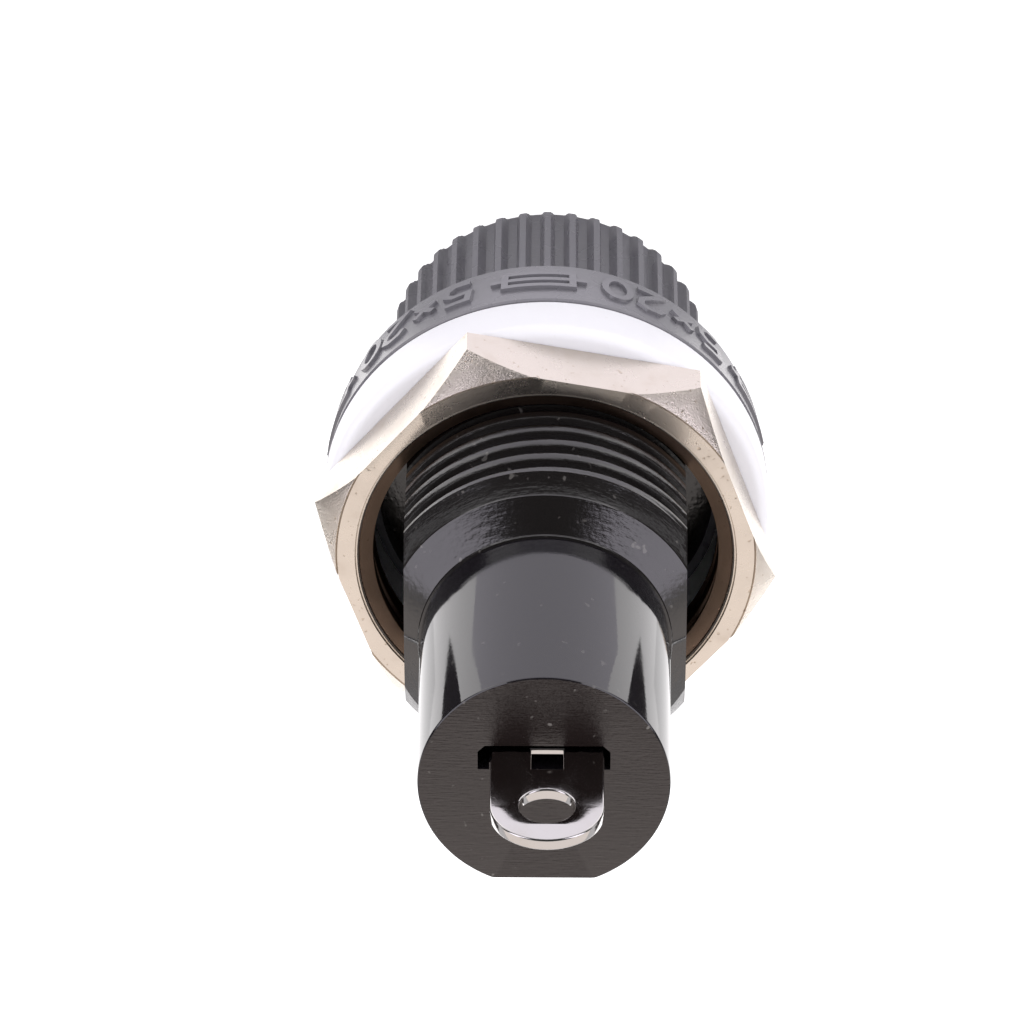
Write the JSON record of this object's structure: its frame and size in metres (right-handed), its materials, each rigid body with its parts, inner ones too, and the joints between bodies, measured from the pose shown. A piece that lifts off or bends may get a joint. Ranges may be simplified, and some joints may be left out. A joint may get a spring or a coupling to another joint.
{
  "type": "panel mount fuse holder",
  "caption": "Screw-cap panel mount holder for a 5 x 20 mm cartridge fuse, with flange, washer, hex nut and rear solder terminals.",
  "frame": {"origin": "on the holder's axis, at the flat front face of the screw cap, on which it stands", "axes": "+Z along the axis from the cap to the rear terminals; the barrel's two flats face +X and -X; +Y is the side of the neck's flat and of the side terminal"},
  "size_m": [0.0172, 0.0178, 0.0373],
  "materials": {
    "black_plastic": "semi-gloss moulded",
    "cap_plastic": "satin moulded",
    "white_nylon": "satin moulded",
    "nickel_plate": "nickel plated",
    "tin_plate": "bright tin plated",
    "plain_brass": "drawn, bare",
    "spring_steel": "drawn wire"
  },
  "bodies": {
    "holder_body": {"housing": "black_plastic", "contact_sleeve": "plain_brass", "end_terminal": "tin_plate", "side_terminal": "tin_plate"},
    "washer": {"panel_washer": "white_nylon"},
    "nut": {"hex_nut": "nickel_plate"},
    "spring": {"cap_spring": "spring_steel"},
    "cap": {"cap_knob": "cap_plastic", "cap_ferrule": "plain_brass"},
    "clip": {"fuse_clip": "tin_plate"}
  },
  "joints": [
    {"name": "nut_travel", "type": "slide", "parent": "holder_body", "child": "washer", "axis": [0, 0, 1], "range_m": [0, 0.006]},
    {"name": "nut_turn", "type": "hinge", "parent": "washer", "child": "nut", "pos_m": [0, 0, 0.0137], "axis": [0, 0, 1], "range_deg": [0, 2160]},
    {"name": "cap_travel", "type": "slide", "parent": "holder_body", "child": "spring", "axis": [0, 0, -1], "range_m": [0, 0.006]},
    {"name": "cap_turn", "type": "hinge", "parent": "spring", "child": "cap", "pos_m": [0, 0, 0], "axis": [0, 0, -1], "range_deg": [0, 2160]},
    {"name": "clip_press", "type": "slide", "parent": "cap", "child": "clip", "axis": [0, 0, -1], "range_m": [0, 0.0015], "stiffness_N_per_m": 1500, "springref_m": -0.0022, "deforming": ["cap_spring"]}
  ],
  "couplings": [
    {"joint": "nut_turn", "follows": "nut_travel", "rad_per_m": 6283.2},
    {"joint": "cap_turn", "follows": "cap_travel", "rad_per_m": 6283.2}
  ]
}
